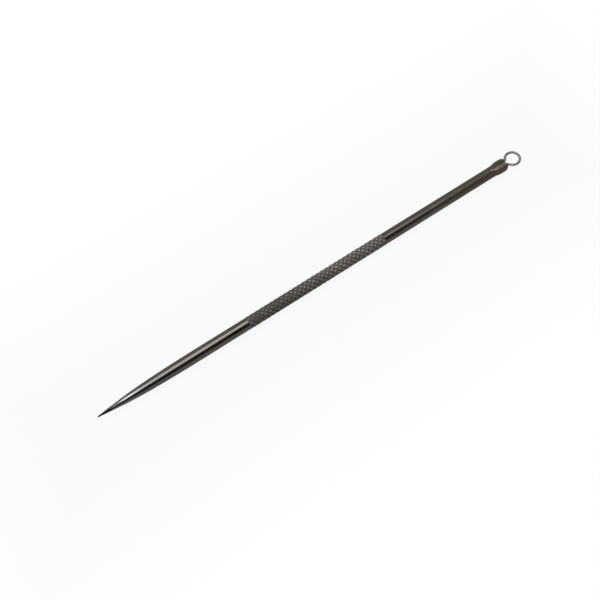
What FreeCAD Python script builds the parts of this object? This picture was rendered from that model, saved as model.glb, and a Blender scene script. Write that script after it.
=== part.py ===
import FreeCAD, Part
import math
import os

# Blackhead extractor: a knurled steel bar, a needle point at one end, a wire loop crimped in the other.
# Millimetres. The bar lies along X with its point towards -X, and the loop is bent up a little from level.

# Bar: needle point, front shank, grip, rear shank
shank_diameter = 2.8
needle_length = 26.0
cone_length = 6.0
cone_base_share = 0.56
shoulder_length = 12.5
point_radius = 0.15
front_shank_length = 12.3
grip_length = 38.7
rear_shank_length = 33.8

# Diamond knurl rolled into the grip
knurl_count = 7
knurl_pitch = 1.28
knurl_raise = 0.08
knurl_depth = 0.11

# Crimped end: the bar swells sideways where the press squeezes it over the wire
crimp_length = 4.7
flare_length = 2.4
crimp_spread = 0.28
nose_radius = 1.25
press_length = 6.1
press_flat_length = 3.0
press_depth = 0.225
crease_length = 4.0
crease_ramp_length = 1.5
crease_width = 1.5
crease_depth = 0.475
mouth_radius = 0.85
mouth_depth = 0.4

# Wire loop with two legs in the crimped end
wire_diameter = 0.62
loop_inside_diameter = 3.06
loop_pitch = 6.0
leg_spacing = 1.4
leg_depth = 4.0
lift_bend_radius = 1.0
neck_length = 0.05
neck_bend_radius = 0.5

# Clearances, and how far a cut reaches past what it cuts
crimp_clearance = 0.01
leg_end_gap = 0.3
cut_overrun = 0.5

# Radii worked out from the sizes above
shank_radius = shank_diameter / 2
crest_radius = shank_radius + knurl_raise
groove_radius = crest_radius - knurl_depth
nose_half_width = shank_radius + crimp_spread
press_height = shank_radius - press_depth
wire_radius = wire_diameter / 2
loop_radius = (loop_inside_diameter + wire_diameter) / 2
leg_offset = leg_spacing / 2

# The loop's plane: past the bar's end the legs bend up, then spread, and the loop's centre lies beyond
AXIS = FreeCAD.Vector(1, 0, 0)
SIDE = FreeCAD.Vector(0, 1, 0)
UP = FreeCAD.Vector(0, 0, 1)
FULL_TURN = 360
pitch = math.radians(loop_pitch)
AHEAD = AXIS * math.cos(pitch) + UP * math.sin(pitch)
bend_offset = leg_offset + neck_bend_radius
loop_reach = math.sqrt((loop_radius + neck_bend_radius) ** 2 - bend_offset ** 2)

# Places along the bar, with the middle of the whole tool at x = 0
bar_length = needle_length + front_shank_length + grip_length + rear_shank_length + crimp_length
lift_length = lift_bend_radius * math.sin(pitch)
lift_height = lift_bend_radius * (1 - math.cos(pitch))
loop_length = lift_length + (neck_length + loop_reach + loop_radius) * math.cos(pitch) + wire_radius
overall_length = bar_length + loop_length
point_x = -overall_length / 2
needle_end_x = point_x + needle_length
grip_start_x = needle_end_x + front_shank_length
grip_end_x = grip_start_x + grip_length
crimp_start_x = grip_end_x + rear_shank_length
bar_end_x = crimp_start_x + crimp_length

# The tool rests on two rows of the knurl's crests and on the nose's underside, which is level with them
knurl_sides = 2 * knurl_count
knurl_step = 2 * math.pi / knurl_sides
axis_height = crest_radius * math.cos(knurl_step / 2)


def point(x, y, z=0):
    """A point at x along the bar."""
    return FreeCAD.Vector(x, y, z)


def line(start, end):
    """A straight edge."""
    return Part.LineSegment(start, end).toShape()


def arc(centre, radius, start_angle, end_angle, ahead=AXIS, aside=SIDE):
    """A circular edge whose angles turn from one direction towards another, square to it."""
    angles = (start_angle, (start_angle + end_angle) / 2, end_angle)
    spokes = [ahead * math.cos(angle) + aside * math.sin(angle) for angle in angles]
    return Part.Arc(*[centre + spoke * radius for spoke in spokes]).toShape()


def bezier(*poles):
    """A curved edge that starts and ends along the lines between its outer poles."""
    curve = Part.BezierCurve()
    curve.setPoles(list(poles))
    return curve.toShape()


def turned(edges):
    """A solid turned about the bar's axis from a closed half profile."""
    return Part.Face(Part.Wire(edges)).revolve(point(0, 0), AXIS, FULL_TURN)


def needle_and_front_shank():
    """A rounded point, a ground cone, a slow swell into the shank, and the shank up to the grip."""
    cone_base = point(point_x + cone_length, shank_radius * cone_base_share)
    ball = point(point_x + point_radius, 0)
    to_base = cone_base - ball
    touch_angle = math.atan2(to_base.y, to_base.x) + math.acos(point_radius / to_base.Length)
    touch = ball + point(math.cos(touch_angle), math.sin(touch_angle)) * point_radius
    shoulder = point(point_x + shoulder_length, shank_radius)
    needle_end = point(needle_end_x, shank_radius)
    grip_start = point(grip_start_x, shank_radius)
    grip_centre = point(grip_start_x, 0)
    return turned([
        arc(ball, point_radius, math.pi, touch_angle),
        line(touch, cone_base),
        bezier(cone_base, shoulder, needle_end),
        line(needle_end, grip_start),
        line(grip_start, grip_centre),
        line(grip_centre, point(point_x, 0)),
    ])


def knurled_grip():
    """A band of pyramids between two sets of crossing grooves, every second corner a crest."""
    rows = max(2, round(2 * grip_length / knurl_pitch))
    row_length = grip_length / rows

    def corner(row, side):
        radius = crest_radius if (row + side) % 2 else groove_radius
        angle = knurl_step * (side + 0.5) - math.pi / 2
        return point(grip_start_x + row_length * row, radius * math.cos(angle), radius * math.sin(angle))

    def facet(*corners):
        return Part.Face(Part.makePolygon([*corners, corners[0]]))

    faces = [facet(*[corner(row, side) for side in range(knurl_sides)]) for row in (0, rows)]
    for row in range(rows):
        for side in range(knurl_sides):
            near = corner(row, side)
            near_next = corner(row, side + 1)
            far = corner(row + 1, side)
            far_next = corner(row + 1, side + 1)
            if (row + side) % 2:
                faces += [facet(near, near_next, far), facet(near_next, far_next, far)]
            else:
                faces += [facet(near, near_next, far_next), facet(near, far_next, far)]
    shell = Part.Shell(faces)
    shell.sewShape()
    return Part.Solid(shell)


def rear_shank_and_nose():
    """The shank behind the grip, which swells to the nose that is pressed over the wire."""
    grip_centre = point(grip_end_x, 0)
    grip_end = point(grip_end_x, shank_radius)
    flare_start = point(crimp_start_x, shank_radius)
    flare_end = point(crimp_start_x + flare_length, nose_half_width)
    flare_middle = (flare_start.x + flare_end.x) / 2
    flare_leaves = point(flare_middle, shank_radius)
    flare_arrives = point(flare_middle, nose_half_width)
    round_start = point(bar_end_x - nose_radius, nose_half_width)
    round_centre = point(round_start.x, nose_half_width - nose_radius)
    nose_rim = point(bar_end_x, round_centre.y)
    nose_centre = point(bar_end_x, 0)
    return turned([
        line(grip_centre, grip_end),
        line(grip_end, flare_start),
        bezier(flare_start, flare_leaves, flare_arrives, flare_end),
        line(flare_end, round_start),
        arc(round_centre, nose_radius, math.pi / 2, 0),
        line(nose_rim, nose_centre),
        line(nose_centre, grip_centre),
    ])


def press_die():
    """What the upper press die takes away: a ramp down from the shank to a flat."""
    top = nose_half_width + cut_overrun
    width = nose_half_width + cut_overrun
    ramp_slope = press_depth / (press_length - press_flat_length)
    flat_start = point(bar_end_x - press_flat_length, -width, press_height)
    flat_end = point(bar_end_x + cut_overrun, -width, press_height)
    corner = point(flat_end.x, -width, top)
    ramp_top = point(flat_start.x - (top - press_height) / ramp_slope, -width, top)
    profile = Part.makePolygon([ramp_top, flat_start, flat_end, corner, ramp_top])
    return Part.Face(profile).extrude(SIDE * 2 * width)


def crease():
    """What the die's ridge takes away: a V groove that deepens from nothing, then runs level to the nose."""
    bottom = press_height - crease_depth
    height = nose_half_width + cut_overrun - bottom
    half_width = height * crease_width / (2 * crease_depth)
    ramp_start_x = bar_end_x - crease_length
    rise = (shank_radius - bottom) / crease_ramp_length

    def vee(x):
        low = point(x, 0, bottom)
        rims = [point(x, side * half_width, bottom + height) for side in (-1, 1)]
        return Part.Face(Part.makePolygon([low, *rims, low]))

    level = vee(bar_end_x + cut_overrun).extrude(point(-crease_length - cut_overrun, 0))
    ramp_length = crease_ramp_length + cut_overrun
    ramp = vee(ramp_start_x).extrude(point(-ramp_length, 0, rise * ramp_length))
    return level.fuse(ramp)


def mouth():
    """The hollow between the nose's two lobes, where the press drew the end inwards."""
    height = nose_half_width + cut_overrun
    centre = point(bar_end_x - mouth_depth + mouth_radius, 0, -height)
    return Part.makeCylinder(mouth_radius, 2 * height, centre, UP)


def leg_pocket():
    """The flattened hole that the wire's two legs lie in, side by side."""
    radius = wire_radius + crimp_clearance
    bottom_x = bar_end_x - leg_depth - leg_end_gap
    length = bar_end_x + cut_overrun - bottom_x
    holes = [Part.makeCylinder(radius, length, point(bottom_x, side * leg_offset), AXIS) for side in (-1, 1)]
    corner = point(bottom_x, -leg_offset, -radius)
    slot = Part.makeBox(length, leg_spacing, 2 * radius, corner)
    return slot.fuse(holes)


def anvil():
    """What the flat anvil under the press takes away: all that is lower than the knurl's lowest crests."""
    width = nose_half_width + cut_overrun
    length = bar_end_x + cut_overrun - crimp_start_x
    return Part.makeBox(length, 2 * width, width - axis_height, point(crimp_start_x, -width, -width))


def handle_bar():
    """The whole bar: needle, shanks and grip in one, with the rear end drilled and crimped."""
    rear = rear_shank_and_nose().cut([press_die(), crease(), anvil(), mouth(), leg_pocket()])
    return needle_and_front_shank().fuse([knurled_grip(), rear]).Solids[0]


def wire_loop():
    """The wire: a leg, a bend up, a bend outwards, the round loop, and the same back to the other leg."""
    leg_end_x = bar_end_x - leg_depth
    spread = math.atan2(bend_offset, loop_reach)
    up = math.pi / 2
    around = math.pi - spread

    def in_plane(distance, across=0):
        return point(bar_end_x + lift_length, across, lift_height) + AHEAD * distance

    def lift(side):
        above = point(bar_end_x, side * leg_offset, lift_bend_radius)
        return arc(above, lift_bend_radius, 0, pitch, UP * -1, AXIS)

    def leg(side):
        return line(point(leg_end_x, side * leg_offset), point(bar_end_x, side * leg_offset))

    def neck(side):
        return line(in_plane(0, side * leg_offset), in_plane(neck_length, side * leg_offset))

    centre = in_plane(neck_length + loop_reach)
    bends = [in_plane(neck_length, side * bend_offset) for side in (1, -1)]
    path = Part.Wire([
        leg(1),
        lift(1),
        neck(1),
        arc(bends[0], neck_bend_radius, -up, -spread, AHEAD),
        arc(centre, loop_radius, around, 0, AHEAD),
        arc(centre, loop_radius, 0, -around, AHEAD),
        arc(bends[1], neck_bend_radius, spread, up, AHEAD),
        neck(-1),
        lift(-1),
        leg(-1),
    ])
    section = Part.Wire(Part.makeCircle(wire_radius, point(leg_end_x, leg_offset), AXIS))
    return path.makePipeShell([section], True, False)


def main():
    """Builds each piece, lifts it to stand on the ground and writes it."""
    os.makedirs("parts", exist_ok=True)
    for name, piece in (("handle_bar", handle_bar()), ("wire_loop", wire_loop())):
        piece.translate(UP * axis_height)
        piece.exportStep(f"parts/{name}.step")
        box = piece.optimalBoundingBox(False, False)
        print(f"{name}: valid {piece.isValid()}, {piece.Volume:.4f} mm3, {len(piece.Faces)} faces")
        spans = {"x": (box.XMin, box.XMax), "y": (box.YMin, box.YMax), "z": (box.ZMin, box.ZMax)}
        for axis, (low, high) in spans.items():
            print(f"  {axis} from {low:.3f} to {high:.3f}")


main()
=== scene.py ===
"""Blackhead extractor in Blender: a knurled, needle-pointed dark steel bar with a wire loop in its end.

Lengths in the dataclasses are millimetres, as a maker would write them, and become metres in a mesh.
"""

import logging
import math
from dataclasses import dataclass
from enum import Enum

import bpy
import numpy as np
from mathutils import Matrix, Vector


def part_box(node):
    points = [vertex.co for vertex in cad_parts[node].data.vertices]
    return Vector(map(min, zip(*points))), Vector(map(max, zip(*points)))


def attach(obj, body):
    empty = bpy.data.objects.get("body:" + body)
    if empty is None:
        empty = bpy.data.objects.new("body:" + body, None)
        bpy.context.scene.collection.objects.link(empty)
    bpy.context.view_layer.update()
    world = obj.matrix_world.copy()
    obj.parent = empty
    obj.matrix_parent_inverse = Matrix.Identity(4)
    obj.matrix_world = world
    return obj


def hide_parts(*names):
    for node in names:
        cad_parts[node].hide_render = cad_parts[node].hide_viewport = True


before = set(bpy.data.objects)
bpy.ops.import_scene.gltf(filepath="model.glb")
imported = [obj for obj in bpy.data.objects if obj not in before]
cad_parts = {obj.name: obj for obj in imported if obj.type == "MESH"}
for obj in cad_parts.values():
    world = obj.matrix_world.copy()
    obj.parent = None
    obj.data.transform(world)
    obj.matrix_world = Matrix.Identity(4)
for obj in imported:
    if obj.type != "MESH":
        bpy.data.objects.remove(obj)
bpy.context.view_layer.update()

MM = 0.001
BAKE_MAP = "OFBake"
RELIEF = "relief"
SATIN = "satin"
PLAIN_FACE = 0.5
Colour = tuple[float, float, float, float]
Span = tuple[float, float]
Ranges = tuple[float, float, float, float]
Rings = tuple[int, int, int, int]
Socket = bpy.types.NodeSocket
log = logging.getLogger("blackhead_extractor")


class Node(Enum):
    """The CAD nodes that the dressed pieces stand for."""

    BAR = "handle_bar"
    LOOP = "wire_loop"


class Slot(Enum):
    """Names of the material slots."""

    STEEL = "dark_steel"
    WIRE = "spring_wire"


class RayKind(Enum):
    """Rays that see the floor as the plain white surface it is meant to be."""

    CAMERA = "Is Camera Ray"
    GLOSSY = "Is Glossy Ray"
    TRANSMISSION = "Is Transmission Ray"


def smoothstep(value: np.ndarray | float, start: float, end: float) -> np.ndarray:
    """Eases from 0 at start to 1 at end.

    Args:
        value: Where to read the step.
        start: Last value with a result of 0.
        end: First value with a result of 1.

    Returns:
        The eased step, between 0 and 1.
    """
    share = np.clip((np.asarray(value, dtype=float) - start) / (end - start), 0.0, 1.0)
    return share * share * (3.0 - 2.0 * share)


def soft_min(first: np.ndarray, second: np.ndarray, blend: np.ndarray | float) -> np.ndarray:
    """The smaller of two values, with the corner between them rounded.

    Args:
        first: One set of values.
        second: The other set.
        blend: How far from the corner the rounding reaches, in the values' own unit.

    Returns:
        The rounded minimum.
    """
    reach = np.maximum(np.asarray(blend, dtype=float), 1e-9)
    near = np.maximum(reach - np.abs(first - second), 0.0) / reach
    return np.minimum(first, second) - near * near * reach / 4.0


class Graph:
    """A shader node tree with short ways to add and join nodes."""

    def __init__(self, tree: bpy.types.NodeTree) -> None:
        """Keeps the tree that nodes are added to."""
        self.tree = tree

    def feed(self, socket: Socket, value: object) -> None:
        """Links another node's output to an input, or sets a plain value on it."""
        if isinstance(value, Socket):
            self.tree.links.new(value, socket)
        else:
            socket.default_value = value

    def add(self, kind: str, inputs: dict | None = None, **settings: object) -> bpy.types.Node:
        """Adds a node, then sets or links its inputs.

        Args:
            kind: The node's Blender type.
            inputs: Input name or number to a plain value or to another node's output socket.
            **settings: Attributes of the node itself.

        Returns:
            The new node.
        """
        node = self.tree.nodes.new(kind)
        for name, value in settings.items():
            setattr(node, name, value)
        for key, value in (inputs or {}).items():
            self.feed(node.inputs[key], value)
        return node

    def math(self, operation: str, *values: object) -> Socket:
        """Adds a maths node over plain values or sockets and returns its result."""
        return self.add("ShaderNodeMath", dict(enumerate(values)), operation=operation).outputs[0]

    def fit(self, value: Socket, start: float, end: float, low: float = 0.0, high: float = 1.0) -> Socket:
        """Maps a value smoothly from one range to another.

        Args:
            value: The socket to read.
            start: Value that gives low.
            end: Value that gives high.
            low: Result at start.
            high: Result at end.

        Returns:
            The mapped value.
        """
        inputs = {"Value": value, "From Min": start, "From Max": end, "To Min": low, "To Max": high}
        return self.add("ShaderNodeMapRange", inputs, interpolation_type="SMOOTHSTEP").outputs["Result"]

    def span(self, along: Socket, ends: Span) -> Socket:
        """A mask that grows from 0 to 1 between two places in millimetres."""
        return self.fit(along, ends[0] * MM, ends[1] * MM)

    def mix(self, share: object, first: object, second: object) -> Socket:
        """Adds a colour mix and returns its result."""
        node = self.add("ShaderNodeMix", data_type="RGBA")
        for key, value in (("Factor_Float", share), ("A_Color", first), ("B_Color", second)):
            self.feed(next(s for s in node.inputs if s.identifier == key), value)
        return next(s for s in node.outputs if s.identifier == "Result_Color")

    def place(self, group: bpy.types.NodeTree, inputs: dict) -> bpy.types.Node:
        """Places a node group with its own values."""
        return self.add("ShaderNodeGroup", inputs, node_tree=group)


class MetalEffects:
    """Shader node groups that both metal finishes share."""

    scratch_width = 0.05
    scratch_slant = (0.35, 0.2, 0.5)
    scratch_patches = 420.0
    scratched_range = (0.5, 0.68)
    cloud_range = (0.3, 0.7)
    grain_scale = 2600.0
    # These two ranges lighten what stands proud, partly rubbing and partly painted highlight, and darken what
    # lies low, partly dirt and partly painted shade.
    rub_and_highlight_range = (0.55, 1.05)
    grime_and_shade_range = (0.45, 0.02)

    def __init__(self) -> None:
        """Builds each group once."""
        self.marks = self._marks()
        self.mottle = self._mottle()
        self.wear_and_painted_light = self._wear_and_painted_light()

    @staticmethod
    def _group(name: str, inputs: dict[str, str], outputs: dict[str, str]) -> tuple[Graph, dict, dict]:
        """Starts a node group.

        Args:
            name: The group's name.
            inputs: Input names with their socket types.
            outputs: Output names with their socket types.

        Returns:
            The group's graph, its input sockets by name and its output sockets by name.
        """
        tree = bpy.data.node_groups.new(name, "ShaderNodeTree")
        for label, kind in inputs.items():
            tree.interface.new_socket(label, in_out="INPUT", socket_type=kind)
        for label, kind in outputs.items():
            tree.interface.new_socket(label, in_out="OUTPUT", socket_type=kind)
        graph = Graph(tree)
        source = graph.add("NodeGroupInput").outputs
        target = graph.add("NodeGroupOutput").inputs
        return graph, {label: source[label] for label in inputs}, {label: target[label] for label in outputs}

    def _marks(self) -> bpy.types.NodeTree:
        """Fine polishing lines and stray scratches, long in one direction and narrow in the other."""
        graph, given, result = self._group(
            "polishing_marks",
            {"Place": "NodeSocketVector", "Stretch": "NodeSocketVector", "Fineness": "NodeSocketFloat"},
            {"Lines": "NodeSocketFloat", "Scratches": "NodeSocketFloat"},
        )
        stretched = {0: given["Place"], 1: given["Stretch"]}
        drawn = graph.add("ShaderNodeVectorMath", stretched, operation="MULTIPLY").outputs[0]
        fineness = given["Fineness"]
        lines = graph.add("ShaderNodeTexNoise", {"Vector": drawn, "Scale": fineness, "Detail": 4.0})
        slanted = graph.add("ShaderNodeMapping", {"Vector": drawn, "Rotation": self.scratch_slant}).outputs[0]
        cells = graph.add(
            "ShaderNodeTexVoronoi",
            {"Vector": slanted, "Scale": fineness, "Randomness": 1.0},
            feature="DISTANCE_TO_EDGE",
        )
        patches = {"Vector": given["Place"], "Scale": self.scratch_patches, "Detail": 2.0}
        thin = graph.fit(cells.outputs["Distance"], self.scratch_width, 0.0)
        some = graph.fit(graph.add("ShaderNodeTexNoise", patches).outputs["Fac"], *self.scratched_range)
        graph.feed(result["Lines"], lines.outputs["Fac"])
        graph.feed(result["Scratches"], graph.math("MULTIPLY", thin, some))
        return graph.tree

    def _mottle(self) -> bpy.types.NodeTree:
        """Slow, cloudy change in the coat's tone, from handling and uneven plating."""
        graph, given, result = self._group(
            "coat_mottle",
            {"Place": "NodeSocketVector", "Size": "NodeSocketFloat"},
            {"Clouds": "NodeSocketFloat"},
        )
        inputs = {"Vector": given["Place"], "Scale": given["Size"], "Detail": 5.0}
        broad = graph.add("ShaderNodeTexNoise", inputs).outputs["Fac"]
        graph.feed(result["Clouds"], graph.fit(broad, *self.cloud_range))
        return graph.tree

    def _wear_and_painted_light(self) -> bpy.types.NodeTree:
        """Lightens the coat on what stands proud and darkens it in what is low: partly rubbing and dirt,
        partly painted highlight and painted shade.
        """
        graph, given, result = self._group(
            "rub_highlight_grime_and_shade",
            {"Relief": "NodeSocketFloat", "Place": "NodeSocketVector", "Breakup": "NodeSocketFloat"},
            {"RubbedAndHighlight": "NodeSocketFloat", "GrimeAndShade": "NodeSocketFloat"},
        )
        inputs = {"Vector": given["Place"], "Scale": self.grain_scale, "Detail": 3.0}
        grain = graph.add("ShaderNodeTexNoise", inputs).outputs["Fac"]
        wander = graph.math("MULTIPLY", graph.math("SUBTRACT", grain, 0.5), given["Breakup"])
        relief = graph.math("ADD", given["Relief"], wander)
        graph.feed(result["RubbedAndHighlight"], graph.fit(relief, *self.rub_and_highlight_range))
        graph.feed(result["GrimeAndShade"], graph.fit(relief, *self.grime_and_shade_range))
        return graph.tree


@dataclass(frozen=True)
class DarkSteelFinish:
    """Polished steel with a dark, slightly warm coat."""

    coat: Colour = (0.088, 0.078, 0.067, 1.0)
    coat_light: Colour = (0.104, 0.093, 0.080, 1.0)
    taper: Colour = (0.0895, 0.0865, 0.083, 1.0)
    ground_point: Colour = (0.112, 0.112, 0.110, 1.0)
    # Painted shade: the end of the point is coloured darker so that it shows no highlight.
    darkened_tip: Colour = (0.040, 0.040, 0.039, 1.0)
    pressed: Colour = (0.078, 0.065, 0.048, 1.0)
    # The next three colours: a light one for crests and the crease streak, partly metal shown by rubbing and
    # partly painted highlight; the crease streak's brown, partly painted highlight; a dark one for low
    # relief, partly dirt and partly painted shade.
    rubbed_and_highlight: Colour = (0.30, 0.272, 0.234, 1.0)
    crease: Colour = (0.30, 0.228, 0.155, 1.0)
    grime_and_shade: Colour = (0.034, 0.031, 0.027, 1.0)
    rim: Colour = (0.6, 0.57, 0.53, 1.0)
    taper_span: Span = (-35.0, -50.0)
    point_span: Span = (-46.0, -54.0)
    tip_span: Span = (-55.4, -57.4)
    press_span: Span = (26.0, 51.0)
    # Where the light streak along the crease turns brown: painted highlight, partly metal shown by rubbing.
    crease_highlight_span: Span = (50.4, 52.2)
    rough: Span = (0.15, 0.22)
    point_polish: float = 0.6
    scratch_rough: float = 0.12
    satin_rough: float = 0.5
    satin_metal: float = 0.2
    cloud_size: float = 260.0
    line_stretch: tuple[float, float, float] = (0.06, 1.0, 1.0)
    line_fineness: float = 5200.0
    line_height: float = 0.35
    breakup: float = 0.35
    bump_strength: float = 0.12
    bump_depth: float = 0.004

    def material(self, effects: MetalEffects) -> bpy.types.Material:
        """Makes the finish.

        Args:
            effects: The shared node groups.

        Returns:
            The material.
        """
        made = bpy.data.materials.new("dark_gunmetal_coat")
        made.use_nodes = True
        graph = Graph(made.node_tree)
        shader = made.node_tree.nodes["Principled BSDF"].inputs
        place = graph.add("ShaderNodeTexCoord").outputs["Object"]
        along = graph.add("ShaderNodeSeparateXYZ", {0: place}).outputs["X"]
        relief = graph.add("ShaderNodeAttribute", attribute_name=RELIEF).outputs["Fac"]
        satin = graph.add("ShaderNodeAttribute", attribute_name=SATIN).outputs["Fac"]
        clouds = graph.place(effects.mottle, {"Place": place, "Size": self.cloud_size}).outputs["Clouds"]
        lines = {"Place": place, "Stretch": self.line_stretch, "Fineness": self.line_fineness}
        marks = graph.place(effects.marks, lines).outputs
        worn = {"Relief": relief, "Place": place, "Breakup": self.breakup}
        wear_and_painted_light = graph.place(effects.wear_and_painted_light, worn).outputs
        point = graph.span(along, self.point_span)

        coat = graph.mix(clouds, self.coat, self.coat_light)
        coat = graph.mix(graph.span(along, self.taper_span), coat, self.taper)
        coat = graph.mix(point, coat, self.ground_point)
        # Painted shade on the end of the point, which takes its highlight away.
        coat = graph.mix(graph.span(along, self.tip_span), coat, self.darkened_tip)
        coat = graph.mix(graph.span(along, self.press_span), coat, self.pressed)
        # Darkens where relief is low: in the knurl grooves partly dirt and partly painted shade, and in the
        # mouth and the pocket.
        coat = graph.mix(wear_and_painted_light["GrimeAndShade"], coat, self.grime_and_shade)
        # Lightens where relief is high, on the knurl's crests and the crease streak: partly metal shown by
        # rubbing, partly painted highlight.
        bare_and_highlight = graph.mix(graph.span(along, self.crease_highlight_span), self.rubbed_and_highlight, self.crease)
        graph.feed(shader["Base Color"], graph.mix(wear_and_painted_light["RubbedAndHighlight"], coat, bare_and_highlight))

        rough = graph.fit(clouds, 0.0, 1.0, *self.rough)
        rough = graph.math("MULTIPLY", rough, graph.fit(point, 0.0, 1.0, 1.0, self.point_polish))
        rough = graph.math("ADD", rough, graph.math("MULTIPLY", marks["Scratches"], self.scratch_rough))
        rough = graph.math("ADD", rough, graph.math("MULTIPLY", satin, self.satin_rough))
        graph.feed(shader["Roughness"], rough)
        graph.feed(shader["Metallic"], graph.fit(satin, 0.0, 1.0, 1.0, self.satin_metal))
        graph.feed(shader["Specular Tint"], self.rim)

        raised = graph.math("MULTIPLY", marks["Lines"], self.line_height)
        height = graph.math("SUBTRACT", raised, marks["Scratches"])
        bump = {"Height": height, "Strength": self.bump_strength, "Distance": self.bump_depth * MM}
        graph.feed(shader["Normal"], graph.add("ShaderNodeBump", bump).outputs["Normal"])
        return made


@dataclass(frozen=True)
class SpringWireFinish:
    """Drawn spring wire, grey and satin, with die lines along it."""

    steel: Colour = (0.165, 0.164, 0.158, 1.0)
    steel_light: Colour = (0.215, 0.213, 0.206, 1.0)
    # Dark colour for low relief, which the wire has inside the bar's pocket.
    grime_and_shade: Colour = (0.05, 0.045, 0.038, 1.0)
    rough: Span = (0.3, 0.4)
    scratch_rough: float = 0.1
    cloud_size: float = 900.0
    line_stretch: tuple[float, float, float] = (1.0, 1.0, 1.0)
    line_fineness: float = 6500.0
    breakup: float = 0.3
    bump_strength: float = 0.1
    bump_depth: float = 0.003

    def material(self, effects: MetalEffects) -> bpy.types.Material:
        """Makes the finish.

        Args:
            effects: The shared node groups.

        Returns:
            The material.
        """
        made = bpy.data.materials.new("drawn_spring_wire")
        made.use_nodes = True
        graph = Graph(made.node_tree)
        shader = made.node_tree.nodes["Principled BSDF"].inputs
        place = graph.add("ShaderNodeTexCoord").outputs["Object"]
        relief = graph.add("ShaderNodeAttribute", attribute_name=RELIEF).outputs["Fac"]
        clouds = graph.place(effects.mottle, {"Place": place, "Size": self.cloud_size}).outputs["Clouds"]
        lines = {"Place": place, "Stretch": self.line_stretch, "Fineness": self.line_fineness}
        marks = graph.place(effects.marks, lines).outputs
        worn = {"Relief": relief, "Place": place, "Breakup": self.breakup}
        wear_and_painted_light = graph.place(effects.wear_and_painted_light, worn).outputs

        colour = graph.mix(clouds, self.steel, self.steel_light)
        # Darker where relief is low, on the wire inside the pocket.
        graph.feed(shader["Base Color"], graph.mix(wear_and_painted_light["GrimeAndShade"], colour, self.grime_and_shade))
        rough = graph.fit(clouds, 0.0, 1.0, *self.rough)
        rough = graph.math("ADD", rough, graph.math("MULTIPLY", marks["Scratches"], self.scratch_rough))
        graph.feed(shader["Roughness"], rough)
        graph.feed(shader["Metallic"], 1.0)
        bump = {"Height": marks["Lines"], "Strength": self.bump_strength, "Distance": self.bump_depth * MM}
        graph.feed(shader["Normal"], graph.add("ShaderNodeBump", bump).outputs["Normal"])
        return made


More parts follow.
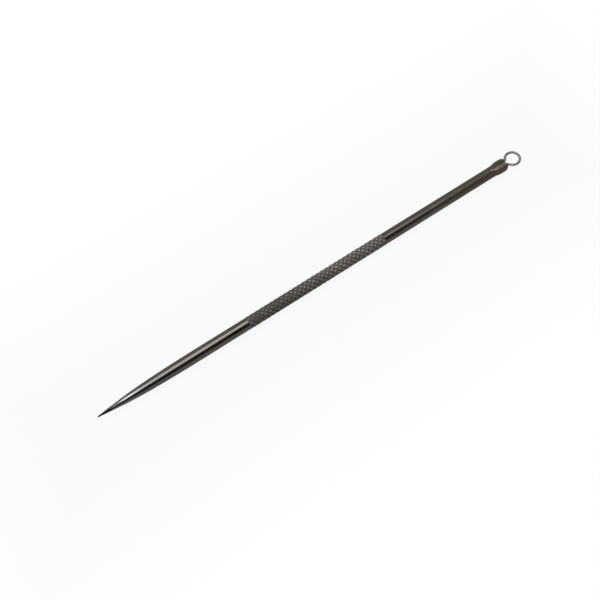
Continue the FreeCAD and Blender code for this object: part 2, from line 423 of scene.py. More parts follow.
class RingSkin:
    """A closed skin made of rings of points, from one end of a round piece to the other."""

    map_side_gap = 0.03
    map_end_gap = 0.01

    def __init__(self, columns: int) -> None:
        """Starts with no rings.

        Args:
            columns: Points in every ring.
        """
        self.columns = columns
        self.rings: list[np.ndarray] = []
        self.relief: list[np.ndarray] = []
        self.satin: list[np.ndarray] = []
        self.lattice: list[np.ndarray | None] = []

    def add(
        self,
        ring: np.ndarray,
        relief: np.ndarray | float = PLAIN_FACE,
        satin: np.ndarray | float = 0.0,
        lattice: np.ndarray | None = None,
    ) -> None:
        """Adds a ring.

        Args:
            ring: Points of shape (columns, 3), in millimetres, turning from +Y to +Z.
            relief: How far each point stands proud: 0 in a groove, 0.5 on a plain face, 1 where the coat is
                lightest; high relief is lightened by rubbing and painted highlight, low relief darkened by
                dirt and painted shade.
            satin: How dull each point is: 0 where the steel is polished, 1 where tools have marked it.
            lattice: True for each quad, up to the next ring, that splits from its first corner.
        """
        self.rings.append(ring)
        self.relief.append(np.broadcast_to(np.asarray(relief, dtype=float), (self.columns,)))
        self.satin.append(np.broadcast_to(np.asarray(satin, dtype=float), (self.columns,)))
        self.lattice.append(lattice)

    def smooth(self, first: int, last: int, turns: int, ease: float) -> None:
        """Rounds the edges between some rings by drawing each point towards its neighbours.

        Args:
            first: First ring of those that move.
            last: Last ring that moves.
            turns: How often the points move.
            ease: Rings over which the movement grows to its full share.
        """
        block = np.stack(self.rings[first - 1:last + 2])
        share = np.minimum(np.arange(len(block) - 2) / ease, 1.0)[:, None, None]
        for _ in range(turns):
            near = np.roll(block, 1, 1) + np.roll(block, -1, 1)
            near[1:-1] += block[:-2] + block[2:]
            block[1:-1] += share * (near[1:-1] / 4.0 - block[1:-1]) / 2.0
        self.rings[first:last + 1] = list(block[1:-1])

    def _strips(self, count: int) -> tuple[np.ndarray, np.ndarray, np.ndarray]:
        """Cuts the skin's length into strips for the texture map.

        Args:
            count: How many strips.

        Returns:
            Each ring's place along the skin, each ring gap's strip, and the strips' first rings with the last
            ring at the end.
        """
        steps = np.linalg.norm(np.diff(np.stack(self.rings), axis=0), axis=2).mean(1)
        place = np.concatenate([[0.0], np.cumsum(steps)])
        cuts = np.searchsorted(place, np.linspace(0.0, place[-1], count + 1))
        cuts[0], cuts[-1] = 0, len(place) - 1
        return place, np.searchsorted(cuts, np.arange(len(steps)), side="right") - 1, cuts

    def _faces(self, strips: int) -> tuple[list[tuple], list[tuple]]:
        """Joins the rings with quads, split where a ring says so, and closes both ends with fans.

        Args:
            strips: Rows that the skin's length is cut into on its texture map.

        Returns:
            Each face's point numbers, and each face corner's place on the texture map.
        """
        count, columns = len(self.rings), self.columns
        side_gap, end_gap = self.map_side_gap, self.map_end_gap
        place, strip, cuts = self._strips(strips)
        faces: list[tuple] = []
        corners: list[tuple] = []

        def corner(ring: int, column: int, row: int) -> tuple[float, float]:
            """Place of a skin point on the texture map."""
            start, end = place[cuts[row]], place[cuts[row + 1]]
            share = (place[ring] - start) / max(end - start, 1e-9)
            across = row + side_gap + (1.0 - 2.0 * side_gap) * column / columns
            return (end_gap + (1.0 - 2.0 * end_gap) * share, across / strips)

        for ring in range(count - 1):
            row = int(strip[ring])
            split = self.lattice[ring]
            for column in range(columns):
                around = ((ring, column), (ring, column + 1), (ring + 1, column + 1), (ring + 1, column))
                quad = [r * columns + c % columns for r, c in around]
                spots = [corner(r, c, row) for r, c in around]
                if split is None:
                    picks = ((0, 1, 2, 3),)
                elif split[column]:
                    picks = ((0, 1, 2), (0, 2, 3))
                else:
                    picks = ((0, 1, 3), (1, 2, 3))
                for pick in picks:
                    faces.append(tuple(quad[k] for k in pick))
                    corners += [spots[k] for k in pick]
        for ring, pole, row in ((0, count * columns, 0), (count - 1, count * columns + 1, strips - 1)):
            for column in range(columns):
                pair = (ring * columns + column, ring * columns + (column + 1) % columns)
                spots = [corner(ring, column, row), corner(ring, column + 1, row)]
                if ring == 0:
                    pair, spots = pair[::-1], spots[::-1]
                faces.append((*pair, pole))
                corners += [*spots, (0.0 if ring == 0 else 1.0, (spots[0][1] + spots[1][1]) / 2.0)]
        return faces, corners

    def build(self, name: str, strips: int) -> bpy.types.Object:
        """Makes the mesh object.

        Args:
            name: The piece's name.
            strips: Rows that the skin's length is cut into on its texture map.

        Returns:
            The object, linked to the scene.
        """
        poles = [self.rings[0].mean(0)[None], self.rings[-1].mean(0)[None]]
        points = np.concatenate([np.stack(self.rings).reshape(-1, 3), *poles])
        faces, corners = self._faces(strips)
        mesh = bpy.data.meshes.new(name)
        mesh.from_pydata((points * MM).tolist(), [], faces)
        for label, rings in ((RELIEF, self.relief), (SATIN, self.satin)):
            values = np.concatenate([*rings, [rings[0].mean(), rings[-1].mean()]]).astype(np.float32)
            mesh.attributes.new(label, "FLOAT", "POINT").data.foreach_set("value", values)
        spots = np.asarray(corners, dtype=np.float32).ravel()
        mesh.uv_layers.new(name=BAKE_MAP).uv.foreach_set("vector", spots)
        mesh.update()
        mesh.validate()
        piece = bpy.data.objects.new(name, mesh)
        bpy.context.scene.collection.objects.link(piece)
        return piece


@dataclass(frozen=True)
class KnurlWearAndPaintedLight:
    """How handling has worn the knurl, with its painted light, as relief on the scale that the shared effect
    reads: crests lightened by rubbing and painted highlight, grooves darkened by dirt and painted shade, and
    a painted highlight growing towards the grip's rear end.
    """

    crest: float = 0.77
    # Groove relief: the grooves take the dark colour, partly dirt and partly painted shade.
    groove: float = 0.45
    # Rear settings: a painted highlight that makes the knurl lighter towards the grip's rear end.
    rear: float = 0.15
    rear_highlight_overall: float = 0.6
    rear_highlight_start: float = 12.0
    rear_highlight_full: float = 22.0
    spread: float = 0.06
    uneven: float = 0.06
    tip_gain: float = 1.25
    tip_power: float = 6.0
    seed: int = 7

    def cells(self, rows: int, sides: int) -> tuple[np.ndarray, np.ndarray]:
        """Draws each pyramid's own height and how far handling has worn its crest, this partly shared with
        its neighbours.

        Args:
            rows: Pyramids along the grip.
            sides: Places for pyramids round it.

        Returns:
            Each pyramid's share of the full height, and what its crest's relief gains or loses.
        """
        chance = np.random.RandomState(self.seed)
        height = 1.0 - self.uneven * np.abs(chance.standard_normal((rows, sides)))
        grain, patch = chance.standard_normal((rows, sides)), chance.standard_normal((rows, sides))
        near = [(row, side) for row in (-1, 0, 1) for side in (-1, 0, 1)]
        patch = sum(np.roll(patch, step, (0, 1)) for step in near) / math.sqrt(len(near))
        return height, self.spread * (grain + patch)


@dataclass(frozen=True)
class CrimpWearAndPaintedLight:
    """How the press has dulled the crimp, and the light streak along its crease: partly metal shown by
    rubbing, partly painted highlight, strongest on its near wall.
    """

    drawn_dull: float = 0.34
    pressed_dull: float = 0.22
    pressed_reach: float = 2.0
    rubbed_dull: float = 0.35
    nose_dull: float = 0.5
    # The streak settings below: a painted highlight along the crease, with some metal shown by rubbing.
    highlight_half_width: float = 0.34
    highlight_depth: float = 0.1
    highlight_edge: Span = (1.3, 0.7)
    far_wall_highlight: float = 0.3
    wall_edge: float = 0.25
    fade: float = 0.42
    highlight_fade_start: float = 4.2
    highlight_fade_full: float = 2.2
    # Low relief for the mouth and the pocket, which darkens them.
    mouth_relief: float = 0.3
    pocket_relief: float = 0.1


@dataclass
class HandleBar:
    """The steel bar: needle point, shanks, knurled grip and the end that is crimped over the wire."""

    axis_z: float
    point_x: float
    shank_radius: float = 1.4
    needle_length: float = 26.0
    cone_length: float = 6.0
    cone_base_share: float = 0.56
    shoulder_length: float = 12.5
    point_radius: float = 0.15
    front_shank_length: float = 12.3
    grip_length: float = 38.7
    rear_shank_length: float = 33.8
    knurl_count: int = 7
    knurl_rows: int = 60
    knurl_raise: float = 0.08
    knurl_depth: float = 0.11
    knurl_rubbed: float = 0.02
    knurl_fill: float = 0.02
    knurl_runout: float = 0.3
    knurl_wear_and_painted_light: KnurlWearAndPaintedLight = KnurlWearAndPaintedLight()
    crimp_length: float = 4.7
    flare_length: float = 2.4
    crimp_spread: float = 0.28
    nose_radius: float = 1.25
    press_length: float = 6.1
    press_flat_length: float = 3.0
    press_depth: float = 0.225
    crease_length: float = 4.0
    crease_ramp_length: float = 1.5
    crease_width: float = 1.5
    crease_depth: float = 0.475
    crease_round: float = 0.12
    mouth_radius: float = 0.85
    mouth_depth: float = 0.4
    mouth_lip: float = 0.05
    mouth_step: float = 0.04
    mouth_turn: float = 1.35
    pocket_radius: float = 0.32
    pocket_offset: float = 0.7
    pocket_inset: float = 0.3
    pocket_depth: float = 4.3
    edge_round: float = 0.16
    edge_round_full: float = 0.6
    crimp_wear_and_painted_light: CrimpWearAndPaintedLight = CrimpWearAndPaintedLight()
    cell_steps: int = 6
    needle_rings: Rings = (7, 25, 41, 9)
    crimp_rings: Rings = (26, 49, 13, 19)
    cone_crowding: float = 1.5
    flare_steps: int = 65
    edge_tries: int = 4
    nose_turns: int = 4
    nose_ease: float = 8.0
    pocket_rings: int = 4
    column_gather: float = 0.28
    gather_start: float = 4.0
    gather_lead: float = 1.0
    sharp_angle: float = 40.0

    def __post_init__(self) -> None:
        """Works out the places along the bar and the directions of the skin's columns."""
        self.grip_start = self.point_x + self.needle_length + self.front_shank_length
        self.grip_end = self.grip_start + self.grip_length
        self.crimp_start = self.grip_end + self.rear_shank_length
        self.bar_end = self.crimp_start + self.crimp_length
        self.press_start = self.bar_end - self.press_length
        self.nose_half_width = self.shank_radius + self.crimp_spread
        self.columns = 2 * self.knurl_count * self.cell_steps
        self.turn = -math.pi / 2.0 + 2.0 * math.pi * np.arange(self.columns) / self.columns

    def _ring(self, x: np.ndarray | float, y: np.ndarray, z: np.ndarray) -> np.ndarray:
        """Points of one ring, lifted to the bar's own height."""
        return np.stack([np.broadcast_to(np.asarray(x, dtype=float), y.shape), y, z + self.axis_z], 1)

    def _round(self, x: float, radius: np.ndarray | float) -> np.ndarray:
        """A ring about the bar's axis."""
        return self._ring(x, radius * np.cos(self.turn), radius * np.sin(self.turn))

    def _needle(self, skin: RingSkin) -> None:
        """Adds the rounded point, the ground cone, the slow swell into the front shank and that shank."""
        point_rings, cone_rings, swell_rings, shank_rings = self.needle_rings
        base_x, base_r = self.cone_length, self.shank_radius * self.cone_base_share
        reach = base_x - self.point_radius
        touch = math.atan2(base_r, reach) + math.acos(self.point_radius / math.hypot(reach, base_r))
        for angle in np.linspace(math.pi, touch, point_rings)[1:]:
            x = self.point_radius * (1.0 + math.cos(angle))
            skin.add(self._round(self.point_x + x, self.point_radius * math.sin(angle)))
        start_x = self.point_radius * (1.0 + math.cos(touch))
        start_r = self.point_radius * math.sin(touch)
        for share in np.linspace(0.0, 1.0, cone_rings)[1:] ** self.cone_crowding:
            x = start_x + share * (base_x - start_x)
            skin.add(self._round(self.point_x + x, start_r + share * (base_r - start_r)))
        for t in np.linspace(0.0, 1.0, swell_rings)[1:]:
            x = (1 - t) ** 2 * base_x + 2 * t * (1 - t) * self.shoulder_length + t * t * self.needle_length
            radius = (1 - t) ** 2 * base_r + (1 - (1 - t) ** 2) * self.shank_radius
            skin.add(self._round(self.point_x + x, radius))
        for x in np.linspace(self.point_x + self.needle_length, self.grip_start, shank_rings)[1:-1]:
            skin.add(self._round(x, self.shank_radius))

    def _from_grooves(self, row: float, across: np.ndarray) -> tuple[np.ndarray, np.ndarray, tuple]:
        """Finds places on the knurl.

        Args:
            row: Place along the grip, in half pyramids.
            across: Places round it, in half pyramids.

        Returns:
            How far each place lies from either set of grooves, and the row and side of the pyramid it is on.
        """
        rising, falling = across - row, across + row
        from_rising = np.abs((rising + 1.0) % 2.0 - 1.0)
        from_falling = np.abs((falling + 1.0) % 2.0 - 1.0)
        near_rising = 2.0 * np.round((rising - 1.0) / 2.0) + 1.0
        near_falling = 2.0 * np.round((falling - 1.0) / 2.0) + 1.0
        cell_row = np.round((near_falling - near_rising) / 2.0).astype(int) + 1
        cell_side = np.round((near_falling + near_rising) / 2.0).astype(int) % (2 * self.knurl_count)
        return from_rising, from_falling, (np.clip(cell_row, 0, self.knurl_rows + 2), cell_side)

    def _grip(self, skin: RingSkin) -> None:
        """Adds the diamond knurl: two sets of grooves that cross, and worn pyramids between them, their
        crests lightened partly by rubbing and partly as painted highlight, their grooves darkened partly by
        dirt and partly as painted shade.
        """
        steps, wear_and_painted_light = self.cell_steps, self.knurl_wear_and_painted_light
        uneven, handled = wear_and_painted_light.cells(self.knurl_rows + 3, 2 * self.knurl_count)
        side = (np.arange(self.columns) - steps / 2.0) / steps
        groove_radius = self.shank_radius + self.knurl_raise - self.knurl_depth + self.knurl_fill
        height = self.knurl_depth - self.knurl_fill - self.knurl_rubbed
        for step in range(self.knurl_rows * steps + 1):
            row = step / steps
            x = self.grip_start + self.grip_length * row / self.knurl_rows
            from_rising, from_falling, cell = self._from_grooves(row, side)
            share = wear_and_painted_light.tip_gain * np.minimum(from_rising, from_falling)
            share = share / (1.0 + share ** wear_and_painted_light.tip_power) ** (1.0 / wear_and_painted_light.tip_power)
            inside = float(smoothstep(min(x - self.grip_start, self.grip_end - x), 0.0, self.knurl_runout))
            knurled = groove_radius + height * share * uneven[cell]
            radius = self.shank_radius + (knurled - self.shank_radius) * inside
            middle_rising, middle_falling, _ = self._from_grooves(row + 0.5 / steps, side + 0.5 / steps)
            # Painted highlight: more relief, so a lighter knurl, towards the grip's rear end.
            rear = wear_and_painted_light.rear * float(smoothstep(x - self.grip_start, wear_and_painted_light.rear_highlight_start, wear_and_painted_light.rear_highlight_full))
            crest = (wear_and_painted_light.crest + rear + handled[cell]) * share
            relief = PLAIN_FACE + (crest + wear_and_painted_light.rear_highlight_overall * rear - wear_and_painted_light.groove) * inside
            skin.add(self._round(x, radius), relief, inside, middle_rising < middle_falling)
        skin.lattice[-1] = None

    def _swell(self, x: np.ndarray) -> np.ndarray:
        """Radius of the bar before it is pressed: the shank and the flare of the crimp."""
        t = np.linspace(0.0, 1.0, self.flare_steps)
        flare_x = self.crimp_start + self.flare_length * (1.5 * t * (1.0 - t) + t ** 3)
        flare_r = self.shank_radius + self.crimp_spread * t * t * (3.0 - 2.0 * t)
        return np.interp(x, flare_x, flare_r)

    def _press_share(self, x: np.ndarray) -> np.ndarray:
        """How far down the slope of the press face a place lies."""
        return np.clip((x - self.press_start) / (self.press_length - self.press_flat_length), 0.0, 1.0)

    def _press_face(self, x: np.ndarray) -> np.ndarray:
        """Height of the press face above the axis, out of reach in front of it."""
        face = self.shank_radius - self.press_depth * self._press_share(x)
        return np.where(x < self.press_start, self.nose_half_width * 2.0, face)

    def _crease_bottom(self, x: np.ndarray) -> np.ndarray:
        """Height of the crease's bottom above the axis, with its ramp."""
        bottom = self.shank_radius - self.press_depth - self.crease_depth
        rise = (self.shank_radius - bottom) / self.crease_ramp_length
        return bottom + rise * np.clip(self.bar_end - self.crease_length - x, 0.0, None)

    def _crease_highlight(self, x: np.ndarray, y: np.ndarray) -> np.ndarray:
        """How strong the crease's light streak is at a place, partly metal shown by rubbing and partly
        painted highlight: most on its near wall, less towards the nose.
        """
        wear_and_painted_light = self.crimp_wear_and_painted_light
        bottom = self._crease_bottom(x)
        slope = 2.0 * self.crease_depth / self.crease_width
        half_width = (np.minimum(self._press_face(x), self.shank_radius) - bottom) / slope
        across = y / np.maximum(half_width, wear_and_painted_light.highlight_half_width)
        deep = smoothstep(bottom, self.shank_radius, self.shank_radius - wear_and_painted_light.highlight_depth)
        # Painted highlight: weaker towards the nose, full on the crease's near wall and a third as strong on
        # its far wall.
        fade = smoothstep(x, self.bar_end - wear_and_painted_light.highlight_fade_start, self.bar_end - wear_and_painted_light.highlight_fade_full)
        near_wall_highlight = smoothstep(across, wear_and_painted_light.wall_edge, -wear_and_painted_light.wall_edge)
        wall_highlight = wear_and_painted_light.far_wall_highlight + (1.0 - wear_and_painted_light.far_wall_highlight) * near_wall_highlight
        return deep * (1.0 - wear_and_painted_light.fade * fade) * smoothstep(np.abs(across), *wear_and_painted_light.highlight_edge) * wall_highlight

    def _pressed(self, x: np.ndarray, turn: np.ndarray) -> tuple[np.ndarray, np.ndarray, np.ndarray]:
        """Cross-section of the crimp: pressed flat with a crease above, and flat on an anvil below.

        Args:
            x: Place along the bar of each point.
            turn: Direction of each point about the axis.

        Returns:
            Each point's y, its z and its relief.
        """
        swell = self._swell(x)
        y, up = swell * np.cos(turn), np.abs(swell * np.sin(turn))
        above = np.sin(turn) > 0.0
        blend = self.edge_round * smoothstep(self._press_share(x), 0.0, self.edge_round_full)
        slope = 2.0 * self.crease_depth / self.crease_width
        groove = self._crease_bottom(x) + slope * (np.hypot(y, self.crease_round) - self.crease_round)
        top = soft_min(soft_min(up, self._press_face(x), blend), groove, blend)
        z = np.where(above, top, -soft_min(up, np.full_like(up, self.axis_z), blend))
        return y, z, PLAIN_FACE + (1.0 - PLAIN_FACE) * self._crease_highlight(x, y) * above

    def _dull(self, x: np.ndarray, relief: np.ndarray) -> np.ndarray:
        """How dull the bar is at a place along it, most of all on its lightened crests and crease streak."""
        wear_and_painted_light = self.crimp_wear_and_painted_light
        drawn = wear_and_painted_light.drawn_dull * smoothstep(x, self.grip_end, self.press_start)
        reach = (self.press_start - wear_and_painted_light.pressed_reach, self.press_start + wear_and_painted_light.pressed_reach)
        pressed = wear_and_painted_light.pressed_dull * smoothstep(x, *reach)
        return drawn + pressed + wear_and_painted_light.rubbed_dull * np.clip(2.0 * relief - 1.0, 0.0, 1.0)

    def _add_pressed(self, skin: RingSkin, x: np.ndarray, turn: np.ndarray) -> tuple[np.ndarray, ...]:
        """Adds one ring of the rear shank or the crimp and returns its y, z and relief."""
        y, z, relief = self._pressed(x, turn)
        skin.add(self._ring(x, y, z), relief, self._dull(x, relief))
        return y, z, relief

    def _nose_end(self, y: np.ndarray, z: np.ndarray) -> np.ndarray:
        """How far the nose reaches along X at a place of its end: rounded outside, hollowed in the middle."""
        flat_radius = self.nose_half_width - self.nose_radius
        beyond = np.clip(np.hypot(y, z) - flat_radius, 0.0, self.nose_radius)
        nose = self.bar_end - self.nose_radius + np.sqrt(self.nose_radius ** 2 - beyond ** 2)
        hollow_centre = self.bar_end - self.mouth_depth + self.mouth_radius
        inside = np.clip(self.mouth_radius ** 2 - y ** 2, 0.0, None)
        hollow = np.where(np.abs(y) < self.mouth_radius, hollow_centre - np.sqrt(inside), self.bar_end + 1.0)
        return soft_min(nose, hollow, self.edge_round)

    def _pocket(self, turn: np.ndarray) -> np.ndarray:
        """Distance from the axis to the wall of the pocket, a slot with round ends, in each direction."""
        rise = np.where(np.abs(np.sin(turn)) < 1e-6, 1e-6, np.sin(turn))
        straight = np.minimum(np.abs(self.pocket_radius / rise), 9.0)
        aside = np.abs(np.cos(turn))
        inner = np.clip(self.pocket_radius ** 2 - (self.pocket_offset * np.sin(turn)) ** 2, 0.0, None)
        capped = self.pocket_offset * aside + np.sqrt(inner)
        return np.where(straight * aside <= self.pocket_offset, straight, capped)

    def _crimp(self, skin: RingSkin) -> None:
        """Adds the rear shank and the pressed crimp, whose columns gather towards the crease."""
        shank_rings, crimp_rings, _, _ = self.crimp_rings
        lead = self.press_start - self.gather_lead
        for x in np.linspace(self.grip_end, lead, shank_rings)[1:]:
            drawn = self.column_gather * float(smoothstep(x, self.grip_end + self.gather_start, lead))
            self._add_pressed(skin, np.full(self.columns, x), self.turn + drawn * np.sin(2.0 * self.turn))
        turn = self.turn + self.column_gather * np.sin(2.0 * self.turn)
        body_end = self.bar_end - self.nose_radius - self.mouth_lip
        for x in np.linspace(lead, body_end, crimp_rings)[1:]:
            self._add_pressed(skin, np.full(self.columns, x), turn)
        self._nose(skin, turn, body_end)

    def _nose(self, skin: RingSkin, turn: np.ndarray, body_end: float) -> None:
        """Adds the rounded nose, its mouth and the pocket that the wire's legs lie in.

        Args:
            skin: The bar's skin so far.
            turn: Direction of each column about the axis.
            body_end: Where the nose starts along the bar.
        """
        wear_and_painted_light = self.crimp_wear_and_painted_light
        _, _, nose_rings, mouth_rings = self.crimp_rings
        edge = np.full(self.columns, self.bar_end)
        for _ in range(self.edge_tries):
            y, z, relief = self._pressed(edge, turn)
            edge = self._nose_end(y, z)
        first = len(skin.rings)
        for share in np.linspace(0.0, 1.0, nose_rings)[1:]:
            y, z, relief = self._add_pressed(skin, body_end + share * (edge - body_end), turn)
        pocket = self._pocket(turn)
        pocket_y, pocket_z = pocket * np.cos(turn), pocket * np.sin(turn)
        lip = 1.0 + self.mouth_lip / pocket
        for angle in np.linspace(0.0, self.mouth_turn, mouth_rings)[1:]:
            share = (1.0 - math.cos(angle)) / (1.0 - math.cos(self.mouth_turn))
            end_y = y + share * (pocket_y * lip - y)
            end_z = z + share * (pocket_z * lip - z)
            faded = relief + share * (PLAIN_FACE - relief)
            skin.add(self._ring(self._nose_end(end_y, end_z), end_y, end_z), faded, wear_and_painted_light.nose_dull)
        skin.smooth(first, len(skin.rings) - 3, self.nose_turns, self.nose_ease)
        mouth_x = self._nose_end(pocket_y, pocket_z)
        # The mouth and the pocket get low relief, which darkens them.
        skin.add(self._ring(mouth_x - self.mouth_step, pocket_y, pocket_z), wear_and_painted_light.mouth_relief)
        inset = self.bar_end - self.mouth_depth - self.pocket_inset
        for x in np.linspace(inset, self.bar_end - self.pocket_depth, self.pocket_rings):
            skin.add(self._ring(x, pocket_y, pocket_z), wear_and_painted_light.pocket_relief)

    def build(self) -> bpy.types.Object:
        """Builds the bar's skin from its point to the bottom of its pocket.

        Returns:
            The bar.
        """
        skin = RingSkin(self.columns)
        self._needle(skin)
        self._grip(skin)
        self._crimp(skin)
        return skin.build("handle_bar_dressed", strips=4)

    def dress(self, piece: bpy.types.Object, effects: MetalEffects) -> None:
        """Gives the bar its finish and its place in the frame.

        Args:
            piece: The bar.
            effects: The shared node groups.
        """
        piece.data.materials.append(DarkSteelFinish().material(effects))
        piece.data.shade_smooth()
        piece.data.set_sharp_from_angle(angle=math.radians(self.sharp_angle))
        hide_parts(Node.BAR.value)
        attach(piece, "root")


@dataclass
class WireLoop:
    """The bent wire: a leg, a bend up, a bend outwards, the round loop, and the same back."""

    axis_z: float
    bar_end: float
    outer_radius: float
    wire_radius: float = 0.31
    pitch: float = 6.0
    leg_offset: float = 0.7
    leg_depth: float = 4.0
    lift_bend_radius: float = 1.0
    neck_length: float = 0.05
    neck_bend_radius: float = 0.5
    end_round_share: float = 0.35
    end_rings: int = 4
    hidden_relief: float = 0.2
    sides: int = 28
    path_rings: Rings = (8, 6, 15, 61)

    def __post_init__(self) -> None:
        """Works out the radius of the loop's middle line and the slope of its plane."""
        self.loop_radius = self.outer_radius - self.wire_radius
        self.lift = math.radians(self.pitch)

    def _flat_path(self) -> np.ndarray:
        """Follows half of the wire's middle line, laid flat, from the end of a leg to the loop's far side.

        Returns:
            Rows of the place along the tool, the place across it and the wire's heading.
        """
        leg_rings, lift_rings, neck_rings, loop_rings = self.path_rings
        offset = self.leg_offset + self.neck_bend_radius
        reach = math.sqrt((self.loop_radius + self.neck_bend_radius) ** 2 - offset ** 2)
        spread = math.atan2(offset, reach)
        bend_x = self.lift * self.lift_bend_radius + self.neck_length
        flat: list[tuple] = [(x, self.leg_offset, 0.0) for x in np.linspace(-self.leg_depth, 0.0, leg_rings)]
        flat += [(x, self.leg_offset, 0.0) for x in np.linspace(0.0, bend_x, lift_rings)[1:]]
        for angle in np.linspace(-math.pi / 2.0, -spread, neck_rings)[1:]:
            spoke = self.neck_bend_radius * np.array([math.cos(angle), math.sin(angle)])
            flat.append((bend_x + spoke[0], offset + spoke[1], angle + math.pi / 2.0))
        for angle in np.linspace(math.pi - spread, 0.0, loop_rings)[1:]:
            spoke = self.loop_radius * np.array([math.cos(angle), math.sin(angle)])
            flat.append((bend_x + reach + spoke[0], spoke[1], angle - math.pi / 2.0))
        return np.array(flat).T

    def _path(self) -> tuple[np.ndarray, np.ndarray, np.ndarray]:
        """Lifts the flat path over the small bend and mirrors it for the other half.

        Returns:
            Points along the wire, its direction at each and the direction square to the loop's plane there.
        """
        along, across, heading = self._flat_path()
        slope = np.clip(along / self.lift_bend_radius, 0.0, self.lift)
        beyond = np.clip(along - self.lift * self.lift_bend_radius, 0.0, None)
        x = np.minimum(along, 0.0) + self.lift_bend_radius * np.sin(slope) + beyond * np.cos(slope)
        z = self.lift_bend_radius * (1.0 - np.cos(slope)) + beyond * np.sin(slope)
        middle = np.stack([self.bar_end + x, across, self.axis_z + z], 1)
        ahead = [np.cos(heading) * np.cos(slope), np.sin(heading), np.cos(heading) * np.sin(slope)]
        ahead = np.stack(ahead, 1)
        above = np.stack([-np.sin(slope), np.zeros_like(slope), np.cos(slope)], 1)
        middle = np.concatenate([middle, middle[-2::-1] * (1.0, -1.0, 1.0)])
        ahead = np.concatenate([ahead, ahead[-2::-1] * (-1.0, 1.0, -1.0)])
        return middle, ahead, np.concatenate([above, above[-2::-1]])

    def build(self) -> bpy.types.Object:
        """Sweeps the round wire along its path, with its cut ends rounded off.

        Returns:
            The loop.
        """
        middle, ahead, above = self._path()
        skin = RingSkin(self.sides)
        turn = 2.0 * math.pi * np.arange(self.sides) / self.sides
        rounding = self.end_round_share * self.wire_radius
        quarter = np.linspace(0.0, math.pi / 2.0, self.end_rings)
        trims = [(rounding * (1.0 - math.cos(a)), rounding * (1.0 - math.sin(a))) for a in quarter]
        stations = [(middle[0] + ahead[0] * dx, 0, self.wire_radius - dr) for dx, dr in trims]
        stations += [(middle[k], k, self.wire_radius) for k in range(1, len(middle) - 1)]
        stations += [(middle[-1] - ahead[-1] * dx, -1, self.wire_radius - dr) for dx, dr in trims[::-1]]
        for centre, k, radius in stations:
            left = np.cross(above[k], ahead[k])
            ring = centre + radius * (np.outer(np.cos(turn), left) + np.outer(np.sin(turn), above[k]))
            # Inside the bar the wire gets low relief, which darkens it.
            skin.add(ring, PLAIN_FACE if centre[0] > self.bar_end else self.hidden_relief)
        return skin.build("wire_loop_dressed", strips=4)

    def dress(self, piece: bpy.types.Object, effects: MetalEffects) -> None:
        """Gives the loop its finish and its place in the frame.

        Args:
            piece: The loop.
            effects: The shared node groups.
        """
        piece.data.materials.append(SpringWireFinish().material(effects))
        piece.data.shade_smooth()
        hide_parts(Node.LOOP.value)
        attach(piece, "root")


@dataclass(frozen=True)
class Softbox:
    """A lamp overhead, by its middle and width along the tool and its brightness."""

    name: str
    x: float
    width: float
    radiance: float


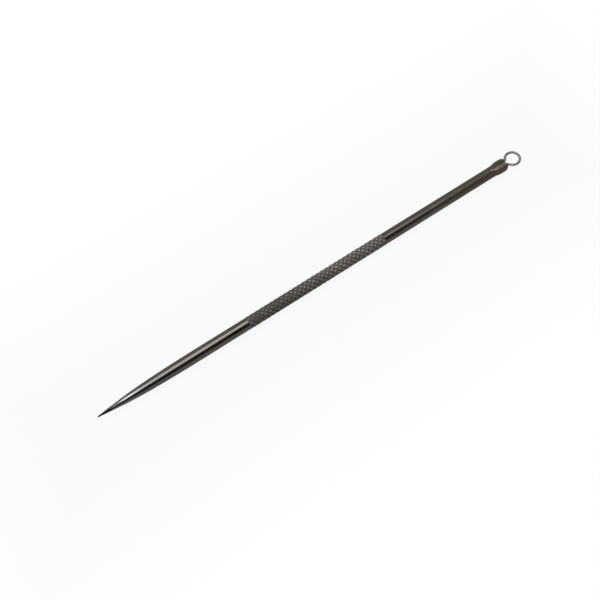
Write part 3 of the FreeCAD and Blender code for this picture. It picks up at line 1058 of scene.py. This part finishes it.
@dataclass
class Studio:
    """White floor, soft overhead light and the camera of the photograph."""

    axis_z: float
    lens: float = 54.0
    sensor: float = 36.0
    elevation: float = 61.36
    azimuth: float = -35.48
    distance: float = 204.9
    clip: Span = (5.0, 20000.0)
    target: Span = (-8.45, -1.89)
    floor_half: float = 3000.0
    floor_grey: Colour = (0.5, 0.5, 0.5, 1.0)
    tool_half: float = 60.0
    near_reach: Span = (4.0, 50.0)
    near_shares: tuple[tuple[RayKind, float], ...] = (
        (RayKind.CAMERA, 0.91),
        (RayKind.GLOSSY, 0.64),
        (RayKind.TRANSMISSION, 0.64),
    )
    lamp_y: float = 80.0
    lamp_height: float = 450.0
    lamp_depth: float = 390.0
    lamps: tuple[Softbox, ...] = (
        Softbox("point_softbox", -92.0, 64.0, 7.6),
        Softbox("shank_softbox", 55.0, 230.0, 3.9),
        Softbox("grip_softbox", 218.0, 96.0, 1.6),
        Softbox("loop_softbox", 303.0, 74.0, 0.38),
        Softbox("end_softbox", 467.0, 254.0, 0.15),
    )
    room_low: Ranges = (0.6, -0.1, 0.0, 0.85)
    room_side: Ranges = (0.25, 0.65, 0.06, 0.4)
    room_back: Ranges = (0.35, 0.9, 0.06, 0.9)

    def camera(self) -> None:
        """Places the camera as it stood for the photograph."""
        data = bpy.data.cameras.new("photo_camera")
        data.lens, data.sensor_width = self.lens, self.sensor
        data.clip_start, data.clip_end = self.clip[0] * MM, self.clip[1] * MM
        eye = bpy.data.objects.new("photo_camera", data)
        turn, tilt = math.radians(self.azimuth), math.radians(self.elevation)
        back = (math.sin(turn) * math.cos(tilt), -math.cos(turn) * math.cos(tilt), math.sin(tilt))
        aim = Vector((*self.target, self.axis_z)) * MM
        eye.location = aim + Vector(back) * self.distance * MM
        eye.rotation_euler = (-Vector(back)).to_track_quat("-Z", "Y").to_euler()
        bpy.context.scene.collection.objects.link(eye)
        bpy.context.scene.camera = eye

    def floor(self) -> None:
        """Lays the pale floor, which keeps the tool's shadow near it and is plain white further out."""
        half = self.floor_half * MM
        mesh = bpy.data.meshes.new("floor")
        outline = [(-half, -half, 0), (half, -half, 0), (half, half, 0), (-half, half, 0)]
        mesh.from_pydata(outline, [], [(0, 1, 2, 3)])
        floor = bpy.data.objects.new("floor", mesh)
        bpy.context.scene.collection.objects.link(floor)
        made = bpy.data.materials.new("white_floor")
        made.use_nodes = True
        made.node_tree.nodes.clear()
        graph = Graph(made.node_tree)
        path = graph.add("ShaderNodeLightPath").outputs
        spot = graph.add("ShaderNodeTexCoord").outputs["Object"]
        place = graph.add("ShaderNodeSeparateXYZ", {0: spot}).outputs
        along = graph.math("SUBTRACT", graph.math("ABSOLUTE", place["X"]), self.tool_half * MM)
        away = graph.math("MAXIMUM", graph.math("ABSOLUTE", place["Y"]), along)
        white_share = 0.0
        for kind, near_share in self.near_shares:
            plain = graph.fit(away, self.near_reach[0] * MM, self.near_reach[1] * MM, near_share, 1.0)
            white_share = graph.math("MAXIMUM", graph.math("MULTIPLY", path[kind.value], plain), white_share)
        matt = graph.add("ShaderNodeBsdfDiffuse", {"Color": self.floor_grey}).outputs[0]
        white = graph.add("ShaderNodeEmission", {"Color": (1.0, 1.0, 1.0, 1.0), "Strength": 1.0}).outputs[0]
        both = graph.add("ShaderNodeMixShader", {0: white_share, 1: matt, 2: white}).outputs[0]
        graph.add("ShaderNodeOutputMaterial", {"Surface": both})
        mesh.materials.append(made)

    def light(self) -> None:
        """Hangs the softboxes and sets a dim room that is white at the horizon and to the camera."""
        for box in self.lamps:
            data = bpy.data.lights.new(box.name, "AREA")
            data.shape = "RECTANGLE"
            data.size, data.size_y = box.width * MM, self.lamp_depth * MM
            data.energy = box.radiance * math.pi * data.size * data.size_y
            lamp = bpy.data.objects.new(box.name, data)
            lamp.location = Vector((box.x, self.lamp_y, self.lamp_height)) * MM
            lamp.visible_camera = False
            bpy.context.scene.collection.objects.link(lamp)
        world = bpy.data.worlds.new("studio")
        bpy.context.scene.world = world
        world.use_nodes = True
        graph = Graph(world.node_tree)
        spot = graph.add("ShaderNodeTexCoord").outputs["Generated"]
        way = graph.add("ShaderNodeSeparateXYZ", {0: spot}).outputs
        low = graph.fit(way["Z"], *self.room_low)
        side = graph.fit(way["X"], *self.room_side)
        back = graph.fit(way["Y"], *self.room_back)
        level = graph.math("MAXIMUM", graph.math("MAXIMUM", low, side), back)
        seen = graph.add("ShaderNodeLightPath").outputs[RayKind.CAMERA.value]
        background = world.node_tree.nodes["Background"].inputs
        graph.feed(background["Color"], graph.math("MAXIMUM", level, seen))
        graph.feed(background["Strength"], 1.0)


def main() -> None:
    """Builds and dresses each piece, sets up the studio and notes the size of the model."""
    logging.basicConfig(level=logging.INFO)
    bpy.context.scene.view_settings.view_transform = "Standard"
    bar_low, bar_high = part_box(Node.BAR.value)
    _, loop_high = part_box(Node.LOOP.value)
    axis_z = (bar_low[2] + bar_high[2]) / 2.0 / MM
    effects = MetalEffects()
    bar = HandleBar(axis_z=axis_z, point_x=bar_low[0] / MM)
    loop = WireLoop(axis_z=axis_z, bar_end=bar.bar_end, outer_radius=loop_high[1] / MM)
    for part in (bar, loop):
        piece = part.build()
        part.dress(piece, effects)
        log.info("%s: %d points, %d faces", piece.name, len(piece.data.vertices), len(piece.data.polygons))
    studio = Studio(axis_z=axis_z)
    studio.camera()
    studio.floor()
    studio.light()


if __name__ == "__main__":
    main()
